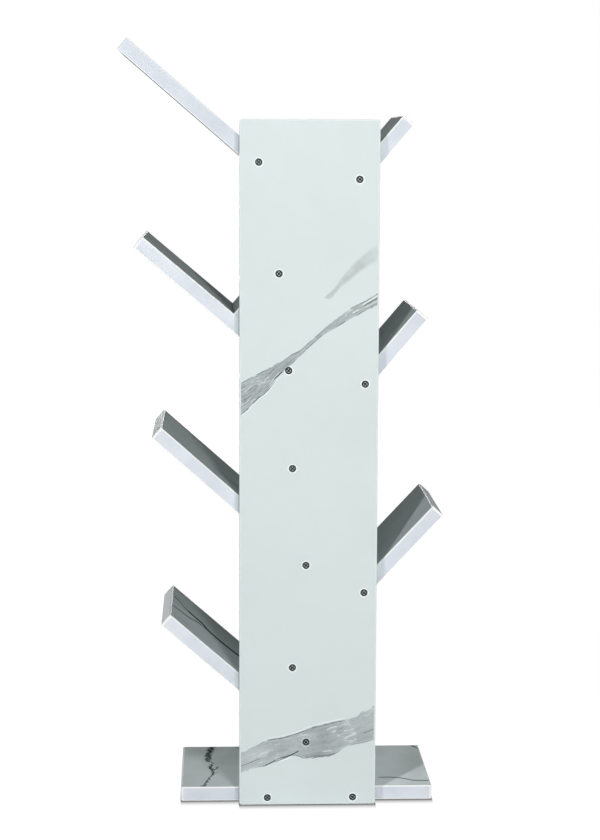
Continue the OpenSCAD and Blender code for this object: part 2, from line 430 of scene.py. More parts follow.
MIDDLE_CRACKS = [
    ([(240, 399), (260.5, 382.2), (269, 369)], 1.8, 0.7),
    ([(240, 408), (255, 395.4), (267, 383)], 1.6, 0.7),
    ([(241, 412.8), (246, 408.8), (256, 398.9), (262, 394)], 1.7, 0.9),
    ([(258, 373.6), (269, 368.4), (281, 361.4), (292, 355)], 1.5, 0.7),
    ([(262, 395), (269, 388), (275, 380)], 1.8, 0.85),
    ([(273.5, 379), (277.5, 375), (281.5, 371)], 2.6, 1.0),
    ([(304, 351), (316, 340), (326, 332), (336, 326.6), (346, 320.8)], 1.6, 0.6),
    ([(352, 309), (366, 300.5), (379.5, 291.5)], 1.6, 0.65),
    ([(362, 306.5), (371, 301), (379.5, 296.5)], 2.2, 0.95),
    ([(352, 314.5), (366, 307.5), (379.5, 302)], 1.8, 0.65),
    ([(343, 319.5), (350, 315), (357, 311.5)], 3.2, 0.55),
    ([(255, 384), (262, 379), (269, 373.5)], 4.0, 0.52),
]
LOW_CRACKS = [
    ([(240, 766), (250, 762), (262, 757)], 1.6, 0.85),
    ([(262, 766), (271.3, 761.8), (277, 758.6), (287, 755.6), (293.6, 752.9), (300.2, 749.6)],
     2.6, 1.0),
    ([(303, 757.8), (317, 755.5), (328, 754.5), (336, 751)], 2.0, 0.8),
    ([(268, 740), (280, 738.3), (290, 735.8), (300, 732.3), (311, 728)], 1.8, 0.7),
    ([(306, 729.8), (320.4, 725.6), (342.7, 720.6)], 1.8, 0.75),
    ([(334, 731), (339, 728.6), (343, 727)], 2.0, 0.75),
    ([(362, 733), (370, 730), (376, 727.5)], 1.8, 0.85),
]
MIDDLE_PALE = [
    ([(241, 415.4), (246, 411.2), (256, 401.4), (269, 389.6), (274, 382.2), (281, 374.6)],
     1.8, 0.9),
    ([(269, 383.5), (273, 378.5), (279, 371.5)], 1.8, 0.7),
    ([(241, 405), (250, 397), (260, 387)], 1.5, 0.45),
    ([(243, 392), (248, 388), (254, 384)], 2.6, 0.35),
    ([(352, 312.5), (355, 311.2), (358.5, 309.4)], 1.8, 0.7),
    ([(362, 304.5), (371, 299), (379.5, 293.8)], 2.8, 0.8),
    ([(364, 307.2), (371, 303.7), (379.5, 299.4)], 2.0, 0.55),
]
LOW_PALE = [
    ([(262, 741), (268, 737.9), (279, 736.2), (288, 734), (300, 730), (311.3, 725.5),
      (345, 717.7)], 1.7, 0.8),
    ([(278, 761.4), (282, 759.6), (290, 757.2)], 2.4, 0.9),
    ([(344, 738), (350, 735), (356, 733)], 3.5, 0.5),
    ([(326, 730), (331, 727), (337, 726)], 2.5, 0.5),
    ([(322, 751), (327, 750.5), (332, 750)], 2.6, 0.45),
    ([(253, 757), (262, 753.5), (268, 752)], 2.0, 0.3),
]
print(len(MIDDLE_CRACKS) + len(LOW_CRACKS), "cracks and", len(MIDDLE_PALE) + len(LOW_PALE),
      "pale lines on the back of the trunk")

# %% [markdown]
# The picture doesn't show the front of the trunk. It gets two veins and a crack of the same
# kind, so that it looks like the back without being a copy of it.

# %% Outlines on the front of the trunk, in metres across and up
FRONT_UPPER = [(-0.086, 0.705), (-0.04, 0.676), (0.01, 0.659), (0.05, 0.634), (0.086, 0.628)]
FRONT_LOWER = [(-0.086, 0.668), (-0.04, 0.655), (0.01, 0.640), (0.05, 0.625), (0.086, 0.611)]
FRONT_LOW_UPPER = [(-0.086, 0.272), (-0.03, 0.306), (0.02, 0.322), (0.086, 0.361)]
FRONT_LOW_LOWER = [(-0.086, 0.262), (-0.03, 0.287), (0.02, 0.312), (0.086, 0.334)]
FRONT_CRACK = [(-0.086, 0.655), (-0.045, 0.64), (-0.01, 0.652), (0.03, 0.63), (0.086, 0.6)]
print("two veins and a crack on its front")


# %% The print on the trunk
def flat(pixels, face, run, height):
    """Marks of a curve, from pixels: the run and the height of each point of the face."""
    return [(point[run], point[height]) for point in on_face(pixels, face)]


def on_trunk(*lines):
    """The marks of lines on the back of the trunk, across and up."""
    return [flat(pixels, trunk_back, 0, 2) for pixels in lines]


def broad_vein(place, run, height, outlines, seed, body, fibres=0.3):
    """How dark a broad vein is and how white its pale threads are."""
    share, inside, rim = vein(run, height, *outlines)
    soft = streaks(run, share, seed) * 0.12 + noise(place, 22, 3, 0.55).rise(0.3, 0.7) * 0.14
    fine = threads(run, share, seed + 1) * fibres
    broken = noise(place, 55, 3).rise(0.38, 0.52)
    pale = threads(run, share, seed + 2, 0.03, 7, 0.025) * noise(place, 40, 3).rise(0.5, 0.6)
    dark = inside * (soft + body + fine)
    return dark.at_least(rim * broken * 0.8), inside * pale * 0.6


def lines_of(run, height, lines):
    """The strongest of several lines, each given by its pixels, its width and its strength."""
    total = None
    for pixels, width, strength in lines:
        line = crack(run, height, *on_trunk(pixels), width * MM) * strength
        total = line if total is None else total.at_least(line)
    return total


def smudge(place, run, height, outlines):
    """A pale cloud in the print, with soft edges, that thins out where it is widest."""
    share, inside, _ = vein(run, height, *outlines, edge=0.3)
    end = max(outlines[0])[0]
    thick = run.rise(end + 12 * MM, end - 18 * MM) * 0.75 + 0.25
    cloud = noise(place, 60, 5, 0.65).rise(0.3, 0.7) * 0.14 + 0.165
    return inside * thick * (cloud + streaks(run, share, 3.1, 0.05, 2) * 0.08)


def trunk_back_print(place):
    """How dark the print is and how white. The low vein fades to both sides of the trunk."""
    shaken = shake(place, 1.5 * MM, 260, 6)
    run, height = along(shaken, X_AXIS), along(shaken, Z_AXIS)
    outlines = on_trunk(MIDDLE_UPPER, MIDDLE_LOWER)
    middle, pale = broad_vein(place, run, height, outlines, 5.3, 0.32, 0.26)
    outlines = on_trunk(LOW_UPPER, LOW_LOWER)
    low, low_pale = broad_vein(place, run, height, outlines, 8.7, 0.33, 0.1)
    low = low * (1 - run.rise(-35 * MM, -75 * MM) * 0.32 - run.rise(15 * MM, 45 * MM) * 0.14)
    dark = smudge(place, run, height, on_trunk(SMUDGE_UPPER, SMUDGE_LOWER))
    dark = dark.at_least(middle).at_least(low)
    dark = dark.at_least(lines_of(run, height, MIDDLE_CRACKS + LOW_CRACKS))
    white = lines_of(run, height, MIDDLE_PALE + LOW_PALE)
    return dark, pale.at_least(low_pale).at_least(white)


def trunk_front_print(place):
    shaken = shake(place, 3 * MM, 120)
    run, height = along(shaken, X_AXIS), along(shaken, Z_AXIS)
    dark, pale = broad_vein(place, run, height, (FRONT_UPPER, FRONT_LOWER), 2.2, 0.3)
    low, low_pale = broad_vein(place, run, height, (FRONT_LOW_UPPER, FRONT_LOW_LOWER), 6.6, 0.25)
    dark = dark.at_least(low).at_least(crack(run, height, FRONT_CRACK, 1.2 * MM) * 0.8)
    return dark, pale.at_least(low_pale)


print("the trunk's print has a back and a front")

# %% [markdown]
# A countersunk screw leaves a clean pale ring where its seat was cut. The rings lie round the
# screws, so the places of the screws are measured on their CAD node: it is split into its
# separate solids, the long axis of each is found, and the end with the wide head is the start.

# %% Where the screws and dowels are
WELD = 0.001 * MM
FLUSH = 0.01 * MM
AXIS_TURNS = 30


def solids_of(node):
    """The corners of each separate solid of a CAD node."""
    mesh = bmesh.new()
    mesh.from_mesh(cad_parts[node].data)
    bmesh.ops.remove_doubles(mesh, verts=mesh.verts, dist=WELD)
    left, found = set(mesh.verts), []
    while left:
        group, edge = set(), {left.pop()}
        while edge:
            group |= edge
            edge = {e.other_vert(v) for v in edge for e in v.link_edges} - group
        left -= group
        found.append([vert.co.copy() for vert in group])
    mesh.free()
    return sorted(found, key=lambda corners: tuple(round(part, 4) for part in corner_mean(corners)))


def corner_mean(corners):
    return sum(corners, Vector()) / len(corners)


def long_axis(corners):
    """The direction in which a slim solid is longest, found by turning towards its corners."""
    middle = corner_mean(corners)
    way = max(corners, key=lambda corner: (corner - middle).length) - middle
    for _ in range(AXIS_TURNS):
        way = sum(((c - middle) * (c - middle).dot(way) for c in corners), Vector()).normalized()
    return way


def place_of(corners):
    """Middle of a fastener's wide end, and the direction from there to its other end."""
    middle, way = corner_mean(corners), long_axis(corners)
    spans = [(c - middle).dot(way) for c in corners]
    ends = []
    for limit in (min(spans), max(spans)):
        rim = [c for c, span in zip(corners, spans) if abs(span - limit) < FLUSH]
        spread = max((c - corner_mean(rim)).length for c in rim)
        ends.append((spread, middle + way * limit))
    (_, start), (_, stop) = sorted(ends, key=lambda end: end[0], reverse=True)
    return start, (stop - start).normalized()


def places_in(node):
    """The place of every fastener in a CAD node."""
    return [place_of(corners) for corners in solids_of(node)]


back_places, joint_places = places_in("back_screws"), places_in("joint_screws")
foot_places, dowel_places = places_in("foot_screws"), places_in("dowels")
print(len(back_places), "back screws,", len(joint_places), "joint screws,", len(foot_places),
      "foot screws,", len(dowel_places), "dowels")
print("first back screw:", [round(part, 4) for part in back_places[0][0]], *back_places[0][1])

# %% [markdown]
# The trunk wears both prints, the front one where the board is nearer to the front, and the
# pale rings on top. A ring is fainter where it crosses a dark part of the print.

# %% Finish of the trunk
RING_INNER, RING_OUTER = 5.5 * MM, 6.4 * MM
RING_WHITE = "fafefd"


def trunk_finish():
    material, inputs, place = new_finish("trunk_marble", Specular_IOR_Level=0.3)
    depth = along(place, Y_AXIS)
    low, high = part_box("trunk_panel")
    front = (depth - (low.y + high.y) / 2).rise(-MM, MM)
    cloud = noise(place, 7, 4, 0.6).rise(0.35, 0.75) * 0.05
    back_dark, back_pale = trunk_back_print(place)
    front_dark, front_pale = trunk_front_print(place)
    dark = back_dark * (1 - front) + front_dark * front + cloud
    pale = back_pale * (1 - front) + front_pale * front
    ring = None
    for start, _ in back_places:
        distance = vectors("DISTANCE", place, start, "Value")
        ring = distance if ring is None else ring.at_most(distance)
    paint = mix(pale, printed(dark, TRUNK_GROUND, deep=CRACK_DARK), colour(VEIN_WHITE))
    clean = ring.rise(RING_OUTER, RING_INNER) * (1 - dark * 1.4)
    paint = mix(clean.at_least(0), paint, colour(RING_WHITE))
    feed(inputs, "Base Color", paint)
    film(inputs, place)
    return material


wear(trunk_finish(), "trunk_panel")
print("trunk panel printed")

# %% [markdown]
# The base shows a crackled dark vein on its left and fine lines on its right. The crackle is
# one crack with a width of its own at every depth, drawn on a strongly shaken place, so it is
# jagged, and pale specks are left in it. The ground is painted darker on its left, as painted
# shade under the lowest left arm, so it gets paler from left to right, and a trace darker
# again at its right end.

# %% The print on the base
BASE_CRACKLE = [(211.3, 746.5), (209.5, 751), (207.3, 757), (207.6, 760.5), (211, 762.5),
                (211.8, 764.5), (209.8, 766.5), (211.8, 769), (212.4, 772.5), (210, 775.6),
                (207.9, 778.5), (207, 781), (205.2, 783.8), (204, 787)]
CRACKLE_MIDDLE = 210
CRACKLE_WIDTHS = [(746.5, 16), (751, 13), (757, 11), (760, 10), (762, 4.4), (768, 4.8), (771, 8),
                  (774, 5), (787, 4.2)]
BASE_BRANCHES = [
    ([(218.7, 765.5), (215.5, 768.5), (212, 771)], 2.2, 0.6),
    ([(218, 771.5), (215, 773.5), (210, 776)], 1.8, 0.4),
    ([(205.8, 782.5), (203, 784.8), (201, 787)], 2.4, 0.7),
]
BASE_LINES = [
    ([(378, 777), (387, 776.6), (396, 777), (407, 778.6), (416, 779.9), (431, 779.8)], 5.5, 0.6),
    ([(410, 745), (415, 746.5), (418, 749.2), (419.8, 753)], 9.0, 0.8),
]
UNDER_VEIN = ([(-0.16, 0.02), (-0.05, 0.035), (0.06, -0.01), (0.16, 0.03)],
              [(-0.16, -0.015), (-0.05, 0.01), (0.06, -0.03), (0.16, 0.012)])


def base_crackle(place):
    shaken = shake(place, 14 * MM, 130, 6)
    across, depth = along(shaken, X_AXIS), along(shaken, Y_AXIS)
    depths = flat([(CRACKLE_MIDDLE, down) for down, _ in CRACKLE_WIDTHS], base_top, 1, 0)
    widths = [(at, width) for (at, _), (_, width) in zip(depths, CRACKLE_WIDTHS)]
    marks = flat(BASE_CRACKLE, base_top, 1, 0)
    dark = crack(depth, across, marks, follow(depth, widths) * MM, 0.01)
    specks = noise(place, 520, 3, 0.7, (1, 0.36, 1)).rise(0.44, 0.6)
    dark = dark * (0.92 - specks * 0.45)
    for pixels, size, strength in BASE_BRANCHES:
        branch = crack(depth, across, flat(pixels, base_top, 1, 0), size * MM)
        dark = dark.at_least(branch * strength)
    return dark


def base_finish():
    material, inputs, place = new_finish("base_marble", Specular_IOR_Level=0.0)
    dark = base_crackle(place)
    shaken = shake(place, 1.5 * MM, 120)
    across, depth = along(shaken, X_AXIS), along(shaken, Y_AXIS)
    for pixels, size, strength in BASE_LINES:
        line = crack(across, depth, flat(pixels, base_top, 0, 1), size * MM)
        dark = dark.at_least(line * strength)
    under, _ = broad_vein(place, across, depth, UNDER_VEIN, 4.4, 0.1)
    top = (along(place, Z_AXIS) - base_top[0].z / 2).rise(-MM, MM)
    cloud = noise(place, 11, 4, 0.6).rise(0.3, 0.8) * 0.08
    side = along(place, X_AXIS)
    # Painted shade: darker to the left, under the lowest left arm; a trace darker at the right end.
    sides = side.rise(90 * MM, -70 * MM) * 0.15 + side.rise(110 * MM, 150 * MM) * 0.06
    dark = dark * top + under * (1 - top) + cloud + sides
    feed(inputs, "Base Color", printed(dark, BASE_GROUND, "a3acab", "868f8e", "343c3b"))
    film(inputs, place)
    return material


wear(base_finish(), "base_shelf")
print("base printed")

# %% [markdown]
# The arms are printed in their own direction. The way up an arm and the way out of its top
# face are measured, so one function serves arms that lean left and arms that lean right. Most
# arms have a cloudy ground with a few fine veins, where smooth noise crosses its middle value.
# The lowest left arm has the dark lines that the picture shows on it, and painted shade on the
# far side of its top. The underside of the highest left arm is darker, as painted shade. Each
# arm also has painted shade in the corners where it meets another.

# %% The print on the arms
FOOT_ARM_LINES = [
    ([(173, 595), (178, 600), (186, 609), (192.5, 615), (200, 621.5), (206, 627)], 9, 0.8),
    ([(186, 609), (192.5, 615), (200, 621.5), (212.5, 634.5), (227.5, 647), (241, 657)], 14, 1.0),
    ([(172, 604.5), (180, 610.7), (187.5, 616.4), (193.7, 620), (200, 624), (211, 633.5)], 9, 0.75),
    ([(172, 599), (178, 604), (188, 611.5)], 5, 0.4),
]
ARMS = [f"left_arm_{i}" for i in range(1, 5)] + [f"right_arm_{i}" for i in range(1, 4)]
# Painted light and shade: these arms get a lighter or darker ground for the light on each.
ARM_LIGHT_AND_SHADE_GROUNDS = {
    "left_arm_3": "aab4b3",
    "left_arm_4": "b6bfbf",
    "right_arm_1": "9ea6a6",
    "right_arm_3": "aeb6b6",
}
UNDER_SHADE = {"left_arm_1": 0.75}


def arm_ways(node):
    """The top face of an arm, and the way up along it."""
    top = face_towards(node, UP)
    lean = top[1].x
    way = Vector((-top[1].z, 0, lean)) if lean > 0 else Vector((top[1].z, 0, -lean))
    return top, way


def fine_veins(flat_place, scale, line, spread):
    """Thin veins where warped noise crosses its middle, shown only where other noise is high."""
    smooth = noise(shake(flat_place, 30 * MM, 14, 3), scale, 1, 0.4)
    thin = abs(smooth - 0.5).rise(line, line / 5)
    return thin * noise(flat_place, scale * 0.8, 2).rise(spread, spread + 0.15)


def arm_finish(number, node):
    material, inputs, place = new_finish(f"{node}_marble", Specular_IOR_Level=0.0)
    (corner, normal), way = arm_ways(node)
    run, depth = along(place, way), along(place, Y_AXIS)
    parts = {"X": run, "Y": depth, "Z": 0.37 * number}
    flat_place = Wire.node(place.tree, "ShaderNodeCombineXYZ", None, parts)
    height = along(place, normal) - corner.dot(normal)
    top = height.rise(-10 * MM, -8 * MM)
    cloud = noise(flat_place, 16, 4, 0.6, (1, 2, 1)).rise(0.35, 0.75) * 0.1
    veins = fine_veins(flat_place, 5, 0.02, 0.45)
    dark = cloud + veins * (0.55 - top * 0.3) + (1 - top) * UNDER_SHADE.get(node, 0)
    if node == "left_arm_4":
        veins = veins * (1 - top)
        # Painted shade: the far side of this arm's top is painted darker.
        dark = cloud + veins * 0.5 + depth.rise(-20 * MM, 50 * MM) * top * 0.15
        shaken = shake(place, 1.5 * MM, 150)
        run, depth = along(shaken, way), along(shaken, Y_AXIS)
        for pixels, size, strength in FOOT_ARM_LINES:
            points = [(p.dot(way), p.y) for p in on_face(pixels, foot_arm_top)]
            dark = dark.at_least(crack(run, depth, points, size * MM, 0.04) * top * strength)
    # Painted shade in the corners where this arm meets another board.
    dark = dark + crevice_shade(place, 7 * MM) * 0.6
    # The arms' ground and greys are written darker than the print's own, as painted shade.
    ground = ARM_LIGHT_AND_SHADE_GROUNDS.get(node, ARM_SHADED_GROUND)
    feed(inputs, "Base Color", printed(dark, ground, "929b9a", "747d7c", "222a29"))
    film(inputs, place)
    return material


for number, arm in enumerate(ARMS):
    wear(arm_finish(number, arm), arm)
print(len(ARMS), "arms printed")

# %% [markdown]
# The edge bands are solid strips of white plastic, not printed: cool on the arms and the base,
# and tinted like the print round the trunk. Milling leaves them satin on the flat and smoother
# where the arris is rounded over. The rounding is found from the way the surface faces, and
# there the band is also painted whiter, as a painted highlight. Its flat upper side is painted
# darker, as painted shade, and so is the joint where two bands meet. The outer ends of two
# arms get painted shade of their own, and the bands of the three lower left arms are painted
# paler, as painted light. The arrises that look down are lit by the white floor: a faint glow
# stands for that light, and as it lights nothing else, it isn't sampled as a lamp.

# %% Finish of the edge bands
# Each band: its white, a random second tone, a painted highlight on the arris, painted shade on
# top.
PLAIN_BAND = ("dde2ea", "d4dae2", "ffffff", "7c8485")
# Painted light: the bands of the three lower left arms are written paler.
LIT_BAND = ("e6ebf2", "dde3ea", "ffffff", "7c8485")
BAND_TONES = {
    "trunk": ("dde7e6", "d6e0df", "e8f0ee", "c2cccb"),
    "base": ("dee3eb", "d5dbe3", "ffffff", "b2bbbb"),
    "left_arm_1": ("dde2ea", "d4dae2", "e6ebf0", "7c8485"),
    "left_arm_2": LIT_BAND,
    "left_arm_3": LIT_BAND,
    "left_arm_4": LIT_BAND,
}
# Painted shade: darker tones for the outer ends of two arms.
END_SHADE_TONES = {"left_arm_3": "adb7b5", "left_arm_4": "dae0e2"}
# Painted shade for the joints where two bands meet.
JOINT_SHADE_GREY = "6d7577"
FLOOR_GLOW = 0.35
BAND_PROUD = 0.015 * MM


def band_finish(board, white, shade, painted_highlight, shaded_top):
    constants = {"Specular_IOR_Level": 0.05, "Emission_Strength": 1.0}
    material, inputs, place = new_finish(f"{board}_band", **constants)
    material.cycles.emission_sampling = "NONE"
    facing = Wire.node(place.tree, "ShaderNodeTexCoord", output="Normal")
    turned, risen = abs(along(facing, Y_AXIS)), along(facing, Z_AXIS)
    arris = turned.rise(0.3, 0.5) * turned.rise(0.998, 0.97)
    ground = mix(noise(place, 30, 3).rise(0.35, 0.7), colour(white), colour(shade))
    # Painted shade: the flat upper side of the band is painted darker.
    ground = mix(risen.rise(0.68, 0.73) * turned.rise(0.5, 0.3), ground, colour(shaded_top))
    if board in END_SHADE_TONES:
        # Painted shade on the outer end face of this arm.
        end_shade = abs(along(facing, X_AXIS)).rise(0.7, 0.74) * turned.rise(0.5, 0.3)
        ground = mix(end_shade, ground, colour(END_SHADE_TONES[board]))
    # Painted highlight: the rounded arris is painted whiter.
    paint = mix(arris, ground, colour(painted_highlight))
    # Painted shade in the joint where two bands meet.
    joint = crevice_shade(place, 2.5 * MM) * turned.rise(0.5, 0.9) * 0.8
    feed(inputs, "Base Color", mix(joint, paint, colour(JOINT_SHADE_GREY)))
    lit = arris * risen.rise(-0.1, -0.4) * FLOOR_GLOW
    feed(inputs, "Emission Color", mix(lit, colour("000000"), colour("ffffff")))
    feed(inputs, "Roughness", 0.42 - arris * 0.15 + noise(place, 60, 2) * 0.04)
    feed(inputs, "Normal", bump(noise(place, 700, 2, stretch=(1, 1, 3)), BAND_PROUD, 0.5))
    return material


bands = [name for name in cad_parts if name.endswith("edge_bands")]
for name in bands:
    board = name.removesuffix("_edge_bands")
    wear(band_finish(board, *BAND_TONES.get(board, PLAIN_BAND)), name)
print(len(bands), "nodes of edge bands")

# %% [markdown]
# A chipboard screw is a lathe shape with a thread wound round it. The shape is a profile of a
# few points, spun about the axis. The thread is a small triangle that is spun too, but moves
# along the axis at each step. The cross recess is two tapered bars, cut out with the exact
# boolean. Driving wears the dark plating off round the recess, so the middle of the head's
# face has a paler material, and the four parts of it between the bars of the cross show.

# %% A lathe and a cutter
HEAD_R, HEAD_RIM, HEAD_BEVEL = 4.3 * MM, 0.4 * MM, 0.15 * MM
NECK_R, NECK_END = 1.75 * MM, 13 * MM
CORE_R, CREST_R = 1.55 * MM, 2.25 * MM
POINT = 6 * MM
THREAD_PITCH, THREAD_FOOT = 2.2 * MM, 1.1 * MM
LATHE_STEPS, THREAD_STEPS = 40, 20
RECESS_TURN = math.radians(40)
RECESS_TOP = (6.0 * MM, 1.6 * MM)
RECESS_FLOOR = (2.2 * MM, 0.9 * MM)
RECESS_DEEP = 2.3 * MM
WORN_R = 2.7 * MM
SHARP_ANGLE = math.radians(35)


def lathe(mesh, profile, steps):
    """Spins a profile of radius and height about the Z axis."""
    verts = [mesh.verts.new((radius, 0, height)) for radius, height in profile]
    edges = [mesh.edges.new(pair) for pair in zip(verts, verts[1:])]
    bmesh.ops.spin(mesh, geom=verts + edges, cent=(0, 0, 0), axis=(0, 0, 1), angle=math.tau,
                   steps=steps, use_merge=True)
    bmesh.ops.remove_doubles(mesh, verts=mesh.verts, dist=WELD)


def to_data(mesh, name):
    """Makes the bmesh a mesh, and marks the edges that stay sharp when it is shaded smooth."""
    data = bpy.data.meshes.new(name)
    mesh.to_mesh(data)
    mesh.free()
    data.set_sharp_from_angle(angle=SHARP_ANGLE)
    return data


def finished(mesh, name):
    """Turns all faces of a bmesh outwards, shades them smooth and makes it a mesh."""
    bmesh.ops.recalc_face_normals(mesh, faces=mesh.faces)
    for face in mesh.faces:
        face.smooth = True
    return to_data(mesh, name)


def recess_bar(turn, material):
    """One bar of the cross recess, as an object: long and wide at the head, tapered inwards."""
    mesh = bmesh.new()
    bmesh.ops.create_cube(mesh, size=2)
    for vert in mesh.verts:
        length, width = RECESS_FLOOR if vert.co.z > 0 else RECESS_TOP
        depth = RECESS_DEEP if vert.co.z > 0 else -RECESS_DEEP / 4
        vert.co = Vector((vert.co.x * length / 2, vert.co.y * width / 2, depth))
    bmesh.ops.rotate(mesh, verts=mesh.verts, matrix=Matrix.Rotation(turn, 3, "Z"))
    bar = new_object("recess_bar", finished(mesh, "recess_bar"))
    bar.data.materials.append(material)
    return bar


print("recess", round(RECESS_TOP[0] / MM, 1), "mm across")


# %% One screw
def screw_body(length, materials):
    mesh = bmesh.new()
    cone_end = HEAD_RIM + HEAD_R - NECK_R
    profile = [(0, 0), (WORN_R, 0), (HEAD_R - HEAD_BEVEL, 0), (HEAD_R, HEAD_BEVEL),
               (HEAD_R, HEAD_RIM), (NECK_R, cone_end), (NECK_R, NECK_END - NECK_R + CORE_R),
               (CORE_R, NECK_END), (CORE_R, length - POINT), (0, length)]
    lathe(mesh, profile, LATHE_STEPS)
    for face in mesh.faces:
        flat_top = all(vert.co.z < HEAD_BEVEL / 2 for vert in face.verts)
        if flat_top and all(vert.co.length < WORN_R * 1.01 for vert in face.verts):
            face.material_index = 1
    body = new_object("screw_body", finished(mesh, "screw_body"))
    for material in materials:
        body.data.materials.append(material)
    return body


def thread(length):
    """A helix of triangular section. It runs out on the point, where the core gets thin."""
    mesh = bmesh.new()
    turns = (length - NECK_END - 2 * THREAD_FOOT) / THREAD_PITCH
    inner = CORE_R * 0.9
    middle = NECK_END + THREAD_FOOT
    corners = [(inner, -THREAD_FOOT / 2), (CREST_R, 0), (inner, THREAD_FOOT / 2)]
    verts = [mesh.verts.new((radius, 0, middle + height)) for radius, height in corners]
    edges = [mesh.edges.new((verts[i], verts[i - 1])) for i in range(3)]
    steps = round(turns * THREAD_STEPS)
    bmesh.ops.spin(mesh, geom=verts + edges, cent=(0, 0, 0), axis=(0, 0, 1), steps=steps,
                   dvec=(0, 0, THREAD_PITCH / THREAD_STEPS), angle=math.tau * steps / THREAD_STEPS)
    bmesh.ops.holes_fill(mesh, edges=[e for e in mesh.edges if e.is_boundary], sides=3)
    for vert in mesh.verts:
        thinner = min(1.0, max(0.05, (length - vert.co.z) / POINT))
        vert.co.x *= thinner
        vert.co.y *= thinner
    return finished(mesh, "thread")


def make_screw(length, steel, worn):
    """The mesh of a screw with its head's face on z = 0 and its point at z = length."""
    body = screw_body(length, (steel, worn))
    bars = [recess_bar(RECESS_TURN + turn, steel) for turn in (0, math.pi / 2)]
    for bar in bars:
        cut = body.modifiers.new("recess", "BOOLEAN")
        cut.operation = "DIFFERENCE"
        cut.solver = "EXACT"
        cut.material_mode = "TRANSFER"
        cut.object = bar
    bpy.context.view_layer.update()
    whole = body.evaluated_get(bpy.context.evaluated_depsgraph_get())
    mesh = bmesh.new()
    mesh.from_mesh(bpy.data.meshes.new_from_object(whole))
    mesh.from_mesh(thread(length))
    data = to_data(mesh, "screw")
    for made in [body, *bars]:
        bpy.data.objects.remove(made)
    return data


print("a screw is turned, threaded and given its recess")

# %% [markdown]
# The screws of one kind are one object: a copy of the mesh is turned and moved to each place
# that was measured, and all are joined. The object itself stays at the origin. It replaces the
# plain screws of the CAD model, which stay in the frame for collision, hidden.

# %% Copies at the measured places
def standing_at(start, way):
    """Moves what points along +Z from the origin to a place, pointing along its direction."""
    side = way.cross(UP).normalized()
    turned = Matrix((side, way.cross(side), way)).transposed()
    return Matrix.Translation(start) @ turned.to_4x4()


def place_copies(name, data, places, materials):
    """Makes one object with a copy of the mesh at each place, which replaces a CAD node."""
    mesh = bmesh.new()
    for start, way in places:
        copy = data.copy()
        copy.transform(standing_at(start, way))
        mesh.from_mesh(copy)
        bpy.data.meshes.remove(copy)
    joined = to_data(mesh, name)
    for material in materials:
        joined.materials.append(material)
    piece = new_object(f"{name}_made", joined)
    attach(piece, "root")
    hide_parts(name)
    print(piece.name, "has", len(joined.polygons), "faces")


# %% Finish of the screws
def steel_finish():
    material, inputs, place = new_finish("dark_steel", Metallic=0.2, Specular_IOR_Level=0.1)
    spots = noise(place, 900, 3).rise(0.35, 0.7)
    feed(inputs, "Base Color", mix(spots, colour("252d2d"), colour("313a3a")))
    feed(inputs, "Roughness", spots * 0.12 + 0.42)
    return material


def worn_finish():
    material, inputs, place = new_finish("worn_steel", Metallic=0.3)
    spots = noise(place, 1500, 3).rise(0.3, 0.7)
    feed(inputs, "Base Color", mix(spots, colour("8a9594"), colour("a4aeac")))
    feed(inputs, "Roughness", spots * 0.1 + 0.38)
    return material


steel, worn = steel_finish(), worn_finish()
SCREW_L, FOOT_SCREW_L = 40 * MM, 30 * MM
long_screw = make_screw(SCREW_L, steel, worn)
short_screw = make_screw(FOOT_SCREW_L, steel, worn)
place_copies("back_screws", long_screw, back_places, (steel, worn))
place_copies("joint_screws", long_screw, joint_places, (steel, worn))
place_copies("foot_screws", short_screw, foot_places, (steel, worn))

# %% [markdown]
# The dowels are beech, with flutes that let the glue and the air out of their holes. A circle
# whose every other corner is pulled in is the section. It is extruded three times, a little
# smaller at both ends, which gives the chamfers.

# %% Dowels
DOWEL_R, DOWEL_L, DOWEL_CHAMFER = 4 * MM, 30 * MM, 1 * MM
FLUTES, FLUTE_DEEP = 20, 0.3 * MM


def make_dowel():
    mesh = bmesh.new()
    end_r, body_l = DOWEL_R - DOWEL_CHAMFER, DOWEL_L - 2 * DOWEL_CHAMFER
    ring = bmesh.ops.create_circle(mesh, segments=2 * FLUTES, radius=end_r)["verts"]
    for vert in ring[::2]:
        vert.co *= 1 - FLUTE_DEEP / DOWEL_R
    wide = DOWEL_R / end_r
    edges = mesh.edges[:]
    for rise, size in ((DOWEL_CHAMFER, wide), (body_l, 1), (DOWEL_CHAMFER, 1 / wide)):
        made = bmesh.ops.extrude_edge_only(mesh, edges=edges)["geom"]
        edges = [part for part in made if isinstance(part, bmesh.types.BMEdge)]
        verts = [part for part in made if isinstance(part, bmesh.types.BMVert)]
        bmesh.ops.scale(mesh, verts=verts, vec=(size, size, 1))
        bmesh.ops.translate(mesh, verts=verts, vec=(0, 0, rise))
        edges = [e for e in edges if e.is_boundary and all(v in verts for v in e.verts)]
    bmesh.ops.holes_fill(mesh, edges=[e for e in mesh.edges if e.is_boundary], sides=0)
    return finished(mesh, "dowel")


def beech_finish():
    material, inputs, place = new_finish("beech", Specular_IOR_Level=0.3)
    grain = noise(place, 700, 4, 0.6, (1, 0.06, 1)).rise(0.3, 0.75)
    fleck = noise(place, 2600, 2, 0.5, (1, 0.12, 1)).rise(0.62, 0.72)
    wood = mix(grain, colour("d9bd94"), colour("c49f72"))
    feed(inputs, "Base Color", mix(fleck * 0.6, wood, colour("9c744b")))
    feed(inputs, "Roughness", grain * 0.12 + 0.55)
    feed(inputs, "Normal", bump(grain, 0.05 * MM, 0.6))
    return material


place_copies("dowels", make_dowel(), dowel_places, (beech_finish(),))

